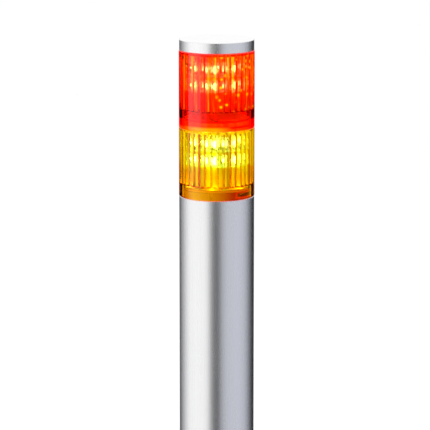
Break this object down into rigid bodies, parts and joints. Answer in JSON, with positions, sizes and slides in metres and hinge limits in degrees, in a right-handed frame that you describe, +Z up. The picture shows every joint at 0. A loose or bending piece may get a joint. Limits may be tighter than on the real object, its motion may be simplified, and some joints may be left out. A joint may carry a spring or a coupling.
{
  "type": "stack light",
  "caption": "Slim round signal tower: aluminium tube carrying a ribbed amber lens, a ribbed red lens and a flat aluminium cap, with LED tiers inside and a screw-down base.",
  "frame": {"origin": "centre of the base gasket's underside", "axes": "+Z up the tower's axis; -Y is the front, with one fixing hole at the back; +X to the right seen from the front"},
  "size_m": [0.03, 0.03, 0.1695],
  "materials": {
    "anodised_aluminium": "satin anodised, fine turned grain",
    "red_lens_plastic": "clear red polycarbonate, polished outside, ribbed inside",
    "amber_lens_plastic": "clear amber polycarbonate, polished outside, ribbed inside",
    "red_led": "clear moulded LED, lit",
    "amber_led": "clear moulded LED, lit",
    "silicone_rubber": "natural silicone, pale and slightly cloudy",
    "seal_rubber": "moulded nitrile rubber, matt",
    "holder_plastic": "moulded, fine satin texture",
    "base_plastic": "moulded, fine texture",
    "insert_brass": "turned",
    "zinc_steel": "zinc plated",
    "spacer_aluminium": "turned",
    "white_board": "white solder mask over glass fibre",
    "green_board": "green solder mask over glass fibre",
    "chip_black": "moulded epoxy",
    "red_wire": "vinyl insulation",
    "amber_wire": "vinyl insulation",
    "slate_wire": "vinyl insulation",
    "header_nylon": "natural nylon",
    "capacitor_sleeve": "shrunk vinyl sleeve",
    "resistor_body": "lacquered"
  },
  "bodies": {
    "root": {"cap": "anodised_aluminium", "body_tube": "anodised_aluminium", "red_lens": "red_lens_plastic", "amber_lens": "amber_lens_plastic", "red_leds_upper": "red_led", "red_leds_lower": "red_led", "amber_leds_upper": "amber_led", "amber_leds_lower": "amber_led", "cap_seal": "silicone_rubber", "tier_seal": "silicone_rubber", "tube_seal": "silicone_rubber", "plug_seal": "seal_rubber", "base_gasket": "seal_rubber", "cable_grommet": "seal_rubber", "red_holder": "holder_plastic", "amber_holder": "holder_plastic", "tube_collar": "holder_plastic", "base_plug": "base_plastic", "fixing_inserts": "insert_brass", "tie_rod": "zinc_steel", "rod_nut": "zinc_steel", "rod_washer": "zinc_steel", "top_spacer": "spacer_aluminium", "middle_spacer": "spacer_aluminium", "red_led_board": "white_board", "amber_led_board": "white_board", "control_board": "green_board", "red_chip_resistors": "chip_black", "amber_chip_resistors": "chip_black", "rectifier": "chip_black", "red_wires": "red_wire", "amber_wires": "amber_wire", "jumper_lead": "slate_wire", "lead_header": "header_nylon", "supply_header": "header_nylon", "capacitor": "capacitor_sleeve", "power_resistors": "resistor_body"}
  },
  "joints": []
}
